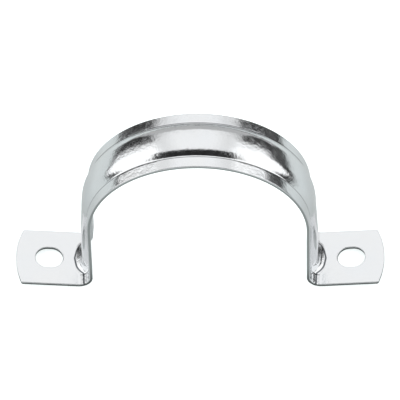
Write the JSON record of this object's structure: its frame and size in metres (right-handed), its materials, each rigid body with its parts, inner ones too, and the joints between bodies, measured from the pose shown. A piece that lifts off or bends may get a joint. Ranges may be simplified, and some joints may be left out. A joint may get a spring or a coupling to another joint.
{
  "type": "omega clamp",
  "caption": "Saddle clamp of ribbed zinc-plated strip: an arch over a pipe, straight legs and slotted feet for bolting it to a wall.",
  "frame": {"origin": "on the wall behind the feet, below the pipe's axis and midway across the strip", "axes": "+X from foot to foot, +Y along the pipe, +Z from the wall towards the crown of the arch"},
  "size_m": [0.1036, 0.018, 0.0586],
  "materials": {
    "zinc_plated_steel": "bright zinc plate, smooth, with a fine grain and a faint blue tint"
  },
  "bodies": {
    "root": {"clamp_strap": "zinc_plated_steel"}
  },
  "joints": []
}
